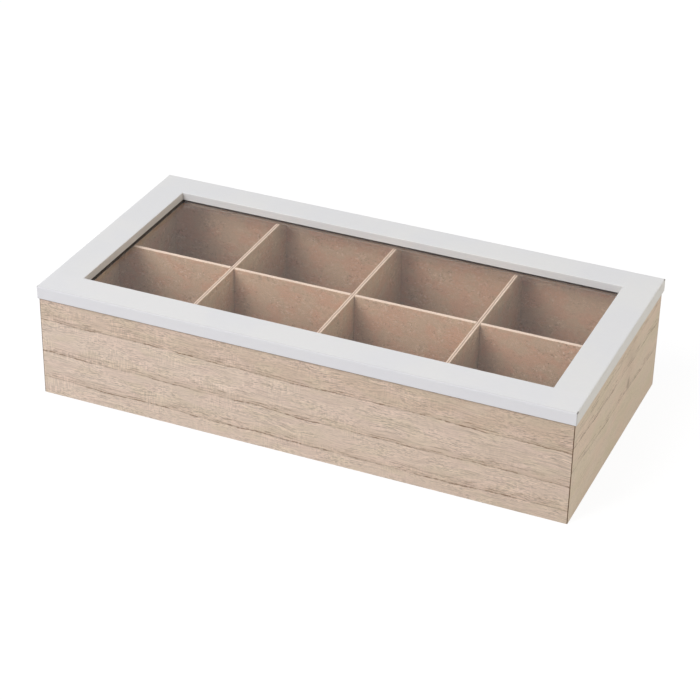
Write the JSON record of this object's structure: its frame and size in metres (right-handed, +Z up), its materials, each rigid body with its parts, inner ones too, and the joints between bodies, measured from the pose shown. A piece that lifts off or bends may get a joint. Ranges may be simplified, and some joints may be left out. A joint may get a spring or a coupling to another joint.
{
  "type": "tea bag organizer box",
  "caption": "Low wooden tea bag box with a halved divider grid and a hinged white framed lid with a clear window.",
  "frame": {"origin": "centre of the lid's footprint, on the surface that the box stands on", "axes": "+X to the right along the long side, +Y to the back where the hinges are, +Z up"},
  "size_m": [0.335, 0.1686, 0.0732],
  "materials": {
    "wood_veneer": "raw pale paulownia veneer, open grain, matt",
    "raw_board": "raw medium-density fibreboard, matt, fine fleck",
    "white_lacquer": "smooth white paint on board, satin",
    "clear_pane": "clear, polished",
    "nickel": "nickel-plated pressed steel"
  },
  "bodies": {
    "box": {"front_wall": "raw_board", "back_wall": "raw_board", "left_wall": "raw_board", "right_wall": "raw_board", "front_veneer": "wood_veneer", "back_veneer": "wood_veneer", "left_veneer": "wood_veneer", "right_veneer": "wood_veneer", "bottom_panel": "raw_board", "long_divider": "raw_board", "cross_divider_left": "raw_board", "cross_divider_middle": "raw_board", "cross_divider_right": "raw_board", "hinge_left_box_leaf": "nickel", "hinge_left_pin": "nickel", "hinge_right_box_leaf": "nickel", "hinge_right_pin": "nickel", "box_leaf_screws": "nickel"},
    "lid": {"lid_front_rail": "white_lacquer", "lid_back_rail": "white_lacquer", "lid_left_rail": "white_lacquer", "lid_right_rail": "white_lacquer", "window_pane": "clear_pane", "hinge_left_lid_leaf": "nickel", "hinge_right_lid_leaf": "nickel", "lid_leaf_screws": "nickel"}
  },
  "joints": [
    {"name": "lid_hinge", "type": "hinge", "parent": "box", "child": "lid", "pos_m": [0, 0.0828, 0.0647], "axis": [-1, 0, 0], "range_deg": [0, 110]}
  ]
}
